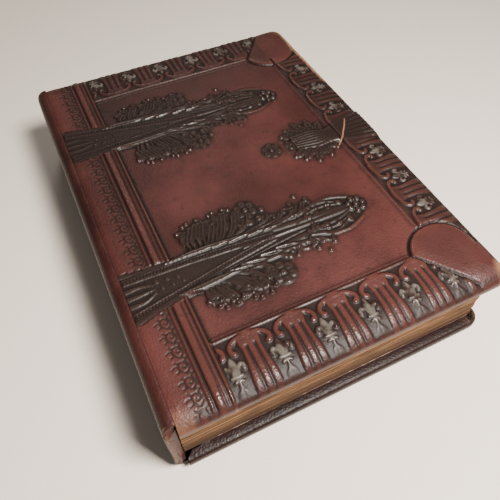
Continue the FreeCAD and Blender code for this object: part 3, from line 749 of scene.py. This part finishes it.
# The spine's hide is a darker copy of the covers' hide: painted shade on the spine wall, which faces away
# from the lamp.
shaded_spine_hide = leather("spine hide in painted shade", False, 0.6)
bm = bmesh.new()
ROUND, LENGTHS = 60, 240
bmesh.ops.create_grid(bm, x_segments=ROUND, y_segments=LENGTHS, size=1)
scuffed = bm.verts.layers.float.new("worn")
joint_radius = 0.0067
turns = np.radians(np.linspace(86, 180, 17))
path = [(HINGE_X + joint_radius * math.cos(a), FRONT_Z + joint_radius * math.sin(a)) for a in turns]
straight = np.linspace(FRONT_Z, BACK_Z, 28)[1:-1]
path += [(HINGE_X - joint_radius - 0.0006 * math.sin(math.pi * (z - BACK_Z) / (FRONT_Z - BACK_Z)), z)
         for z in straight]
path += [(HINGE_X + joint_radius * math.cos(a), BACK_Z - joint_radius * math.sin(a)) for a in turns[::-1]]
path = np.array(path)
run = np.concatenate([[0], np.cumsum(np.hypot(*np.diff(path, axis=0).T))])
middle_z = (FRONT_Z + BACK_Z) / 2
for v in bm.verts:
    s = (v.co.x + 1) / 2 * run[-1]
    y = v.co.y * wall_high[1]
    x, z = np.interp(s, run, path[:, 0]), np.interp(s, run, path[:, 1])
    sag = 0.00015 * noise.noise(Vector((s * 90, y * 45, 3.0)))
    from_middle = abs(z - middle_z) / (FRONT_Z - middle_z)
    y *= 1 - 0.0135 * min(1, max(0, (from_middle - 0.85) / 0.15))
    end = max(0.0, (abs(y) - wall_high[1] + 0.009) / 0.009)
    pinch = 0.0052 * (1 - math.sqrt(1 - min(end, 1) ** 2))
    hold = 1 - 0.8 * min(1, max(0, (from_middle - 0.7) / 0.25))
    v.co = (x + sag + pinch * hold * 0.7, y, z - pinch * 0.3 * (z - middle_z) / (FRONT_Z - middle_z))
    v[scuffed] = max(0.1, min(end, 1) * 0.55, 0.4 if z > FRONT_Z + 0.0055 else 0.1)
for f in bm.faces:
    f.smooth = True
bmesh.ops.recalc_face_normals(bm, faces=bm.faces)
mesh = bpy.data.meshes.new("spine_cover")
bm.to_mesh(mesh)
bm.free()
if mesh.polygons[len(mesh.polygons) // 2].normal.x > 0:
    mesh.flip_normals()
spine = bpy.data.objects.new("spine_cover", mesh)
bpy.context.scene.collection.objects.link(spine)
mesh.materials.append(shaded_spine_hide)
solid = spine.modifiers.new("thickness", "SOLIDIFY")
solid.thickness = 0.0018
solid.offset = -1
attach(spine, "spine")
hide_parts("spine_leather", "front_joint_leather", "back_joint_leather", "spine_inlay")

# The caps: at each end of the spine its hide is turned in over the gap behind
# it and tucked under a little, where it crumples and wears pale at the edge.
cap_hide = leather("cap hide", False, 0.75)
for name, way in (("tail_cap", -1), ("head_cap", 1)):
    bm = bmesh.new()
    scuffed = bm.verts.layers.float.new("worn")
    bmesh.ops.create_grid(bm, x_segments=12, y_segments=60, size=1)
    for v in bm.verts:
        u, w = (v.co.x + 1) / 2, v.co.y
        x = HINGE_X - 0.0058 + 0.0056 * u
        arch = math.sqrt(0.0063 ** 2 - (x - HINGE_X) ** 2)
        z = middle_z + w * (FRONT_Z - middle_z + arch)
        crumple = 0.0004 * noise.noise(Vector((u * 3, z * 160, way)))
        tuck = 0.0027 * min(1, max(0, (abs(z - middle_z) - FRONT_Z + middle_z + 0.003) / 0.003))
        v.co = (x, way * (wall_high[1] - 0.0002 - max(0.0024 * u ** 2, tuck) + crumple), z)
        v[scuffed] = 0.75 * (1 - u)
    for face in bm.faces:
        face.smooth = True
    bmesh.ops.recalc_face_normals(bm, faces=bm.faces)
    if bm.faces[:][0].normal.y * way < 0:
        bmesh.ops.reverse_faces(bm, faces=bm.faces)
    mesh = bpy.data.meshes.new(name)
    bm.to_mesh(mesh)
    bm.free()
    cap = bpy.data.objects.new(name, mesh)
    bpy.context.scene.collection.objects.link(cap)
    mesh.materials.append(cap_hide)
    solid = cap.modifiers.new("thickness", "SOLIDIFY")
    solid.thickness = 0.0009
    solid.offset = -1
    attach(cap, "spine")

# The leaves: thick laminated cards with cream faces and gilt edges gone
# brown. Each card is two sheets pasted together and hangs on a cloth guard.
f = Finish("card leaf")
layers = f.noise(1.0, 3, 0.6, f.place((30, 30, 1700)))
foxing = f.ramp(f.noise(40, 5, 0.65), 0.52, 0.75)
colour = f.spread(f.ramp(layers, 0.35, 0.65), (0.05, 0.022, 0.009), (0.24, 0.118, 0.05))
colour = f.spread(foxing * 0.6, colour, (0.075, 0.04, 0.022))
aged = f.spread(f.ramp(f.noise(55, 5, 0.65), 0.55, 0.8), (0.44, 0.34, 0.22), (0.27, 0.18, 0.1))
colour = f.spread(f.mark("page"), colour, aged)
colour = f.spread(f.mark("cloth"), colour, (0.2, 0.16, 0.11))
colour = f.spread(f.mark("seam") * 0.97, colour, (0.012, 0.007, 0.004))
# Painted shade: the lower leaves darken towards the back cover, where the block lies in shade.
painted_shade_height = f.node("ShaderNodeSeparateXYZ", {}, {"Vector": f.place()}, 2)
colour = f.spread((1 - f.ramp(painted_shade_height, 0.014, 0.033)) * 0.9, colour, (0.03, 0.016, 0.009))
leaf_card = f.done(height=layers, depth=0.0003, Base_Color=colour, Roughness=0.68, Specular_IOR_Level=0.15)
f = Finish("end paper")
vein = f.node("ShaderNodeTexVoronoi", {"feature": "DISTANCE_TO_EDGE"},
              {"Vector": f.place(), "Scale": 95.0}, "Distance")
colour = f.spread(f.ramp(vein, 0.03, 0.12), (0.24, 0.175, 0.115), (0.11, 0.05, 0.038))
colour = f.spread(f.ramp(f.noise(18, 5), 0.5, 0.75), colour, (0.2, 0.15, 0.11))
end_paper = f.done(height=f.noise(900, 3), depth=0.00005, Base_Color=colour, Roughness=0.7)
f = Finish("guard cloth")
weave = f.node("ShaderNodeTexWave", {"wave_type": "BANDS", "bands_direction": "Y"},
               {"Vector": f.place(), "Scale": 420.0, "Distortion": 0.6}, "Fac")
colour = f.spread(f.noise(60, 4), (0.15, 0.12, 0.085), (0.26, 0.215, 0.15))
guard_cloth = f.done(height=weave, depth=0.0001, Base_Color=colour, Roughness=0.85)
f = Finish("grey board")
colour = f.spread(f.noise(70, 5), (0.17, 0.13, 0.09), (0.27, 0.21, 0.15))
grey_board = f.done(height=f.noise(1200, 3), depth=0.00008, Base_Color=colour, Roughness=0.85)
for number in range(1, 13):
    low_corner, (right_x, half_y, top_z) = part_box("leaf_%02d" % number)
    left_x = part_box("guard_%02d" % number)[0][0] + 0.0004
    centre = Vector(((left_x + right_x) / 2, 0, top_z))
    span = Vector(((right_x - left_x) / 2 - 0.0003, half_y - 0.0003, 1))
    bm = bmesh.new()
    bmesh.ops.create_grid(bm, x_segments=36, y_segments=54, size=1)
    bmesh.ops.scale(bm, vec=span, verts=bm.verts)
    bmesh.ops.translate(bm, vec=centre, verts=bm.verts)
    cloth = bm.verts.layers.float.new("cloth")
    seam = bm.verts.layers.float.new("seam")
    page = bm.verts.layers.float.new("page")
    for v in bm.verts:
        v[page] = 0.0 if v.is_boundary else 1.0
    rim = [e for e in bm.edges if e.is_boundary]
    thick = (top_z - low_corner[2]) * 1000
    for sheet, out, down in (
            (0, 0.2, 0.15), (0, 0.3, 0.6), (0, 0.3, thick / 2 - 0.5), (0, 0.0, thick / 2),
            (1, 0.3, thick / 2 + 0.5), (1, 0.3, thick - 0.6), (1, 0.2, thick - 0.15),
            (1, 0.0, thick), (1, -0.8, thick)):
        grown = bmesh.ops.extrude_edge_only(bm, edges=rim)["geom"]
        rim = [e for e in grown if isinstance(e, bmesh.types.BMEdge)]
        for v in {v for e in rim for v in e.verts}:
            at_x = max(-1, min(1, (v.co.x - centre.x) / (span.x - 0.0024)))
            at_y = max(-1, min(1, v.co.y / (span.y - 0.0024)))
            out_x, out_y = int(at_x), int(at_y)
            run = v.co.y if out_x else v.co.x
            along = Vector((run * 28, number * 3.7 + sheet * 1.9, out_x + 2 * out_y))
            wear = 0.35 + 0.35 * noise.noise(along)
            reach_out = (out - wear) / 1000
            v[seam] = 1.0 if out == 0.0 or down < 0.2 or thick - 0.2 < down < thick else 0.0
            v[page] = 1.0 if out < 0 else 0.0
            across = out_x * (span.x + reach_out) if out_x else v.co.x - centre.x
            lengthwise = out_y * (span.y + reach_out) if out_y else v.co.y
            v.co = (centre.x + across, lengthwise, top_z - down / 1000)
    bmesh.ops.contextual_create(bm, geom=rim)
    for v in bm.verts:
        v[cloth] = 1.0 if v.co.x < left_x + 0.014 and abs(v.co.y) < half_y - 0.003 else 0.0
    bmesh.ops.recalc_face_normals(bm, faces=bm.faces)
    mesh = bpy.data.meshes.new("card_leaf_%02d" % number)
    bm.to_mesh(mesh)
    bm.free()
    card = bpy.data.objects.new("card_leaf_%02d" % number, mesh)
    bpy.context.scene.collection.objects.link(card)
    mesh.materials.append(leaf_card)
    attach(card, "leaf_%02d" % number)
    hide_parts("leaf_%02d" % number, "guard_%02d" % number)

# The inner joints: a strip of woven cloth, glued along the inside of each
# cover beside the hinge, to hold the leaves to the boards.
for where in ("front", "back"):
    bm = bmesh.new()
    bmesh.ops.create_grid(bm, x_segments=14, y_segments=160, size=1)
    for v in bm.verts:
        x, y = 11.6 + v.co.x * 5.2, v.co.y * (HALF - 7)
        v.co = (x, y, -4.52 - 0.05 * noise.noise(Vector((x * 0.4, y * 0.2, 1.0))))
    bmesh.ops.reverse_faces(bm, faces=bm.faces)
    mesh = bpy.data.meshes.new(where + "_joint_strip")
    bm.to_mesh(mesh)
    bm.free()
    mesh.transform(SIDES[where])
    strip_piece = bpy.data.objects.new(where + "_joint_strip", mesh)
    bpy.context.scene.collection.objects.link(strip_piece)
    mesh.materials.append(guard_cloth)
    solid = strip_piece.modifiers.new("thickness", "SOLIDIFY")
    solid.thickness = 0.00022
    solid.offset = 1
    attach(strip_piece, where + "_cover")
    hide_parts(where + "_hinge_cloth")

# The boards, the linings and the marbled end papers keep their plain CAD
# shapes, because little of them shows, and only take a finish.
for name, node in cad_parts.items():
    material = grey_board
    if name.startswith("leaf_"):
        material = leaf_card
    if name.startswith("guard_") or name.endswith("hinge_cloth"):
        material = guard_cloth
    if name.endswith("pastedown") or name.endswith("flyleaf"):
        material = end_paper
    for holder in node.material_slots:
        holder.material = material

# The pale table that the book lies on, a warm lamp over the tail and a weak one
# behind the head, and the camera, which looks down on the book from its tail.
bm = bmesh.new()
bmesh.ops.create_grid(bm, x_segments=2, y_segments=2, size=3)
mesh = bpy.data.meshes.new("table_top")
bm.to_mesh(mesh)
bm.free()
table = bpy.data.objects.new("table_top", mesh)
bpy.context.scene.collection.objects.link(table)
f = Finish("pale table")
mesh.materials.append(f.done(Base_Color=(0.78, 0.70, 0.61, 1), Roughness=0.75))
world = bpy.data.worlds.new("room")
bpy.context.scene.world = world
world.use_nodes = True
world.node_tree.nodes["Background"].inputs["Color"].default_value = (1.0, 0.95, 0.9, 1)
world.node_tree.nodes["Background"].inputs["Strength"].default_value = 0.165


def lamp(name, spot, aim, size, power, colour):
    light = bpy.data.lights.new(name, "AREA")
    light.size, light.energy, light.color = size, power, colour
    holder = bpy.data.objects.new(name, light)
    holder.location = spot
    holder.rotation_euler = (Vector(aim) - Vector(spot)).to_track_quat("-Z", "Y").to_euler()
    bpy.context.scene.collection.objects.link(holder)


lamp("key", (0.13, -0.34, 0.6), (0, -0.08, 0.03), 0.17, 14.6, (1.0, 0.94, 0.87))
lamp("back", (0.2, 0.9, 1.0), (0, 0, 0.03), 0.3, 2.4, (1.0, 0.97, 0.94))
camera = bpy.data.objects.new("camera", bpy.data.cameras.new("camera"))
bpy.context.scene.collection.objects.link(camera)
camera.data.lens = 35.96
camera.data.sensor_width = 36.0
ahead = Vector((0.2582, 0.5401, -0.8010)).normalized()
right_way = Vector((0.5401, -0.2582, -0.00520869)).normalized()
right_way = (right_way - ahead * right_way.dot(ahead)).normalized()
up_way = right_way.cross(ahead)
facing = Matrix((right_way, up_way, -ahead)).transposed()
camera.matrix_world = Matrix.Translation((-0.09407, -0.2145, 0.2874)) @ facing.to_4x4()
bpy.context.scene.camera = camera
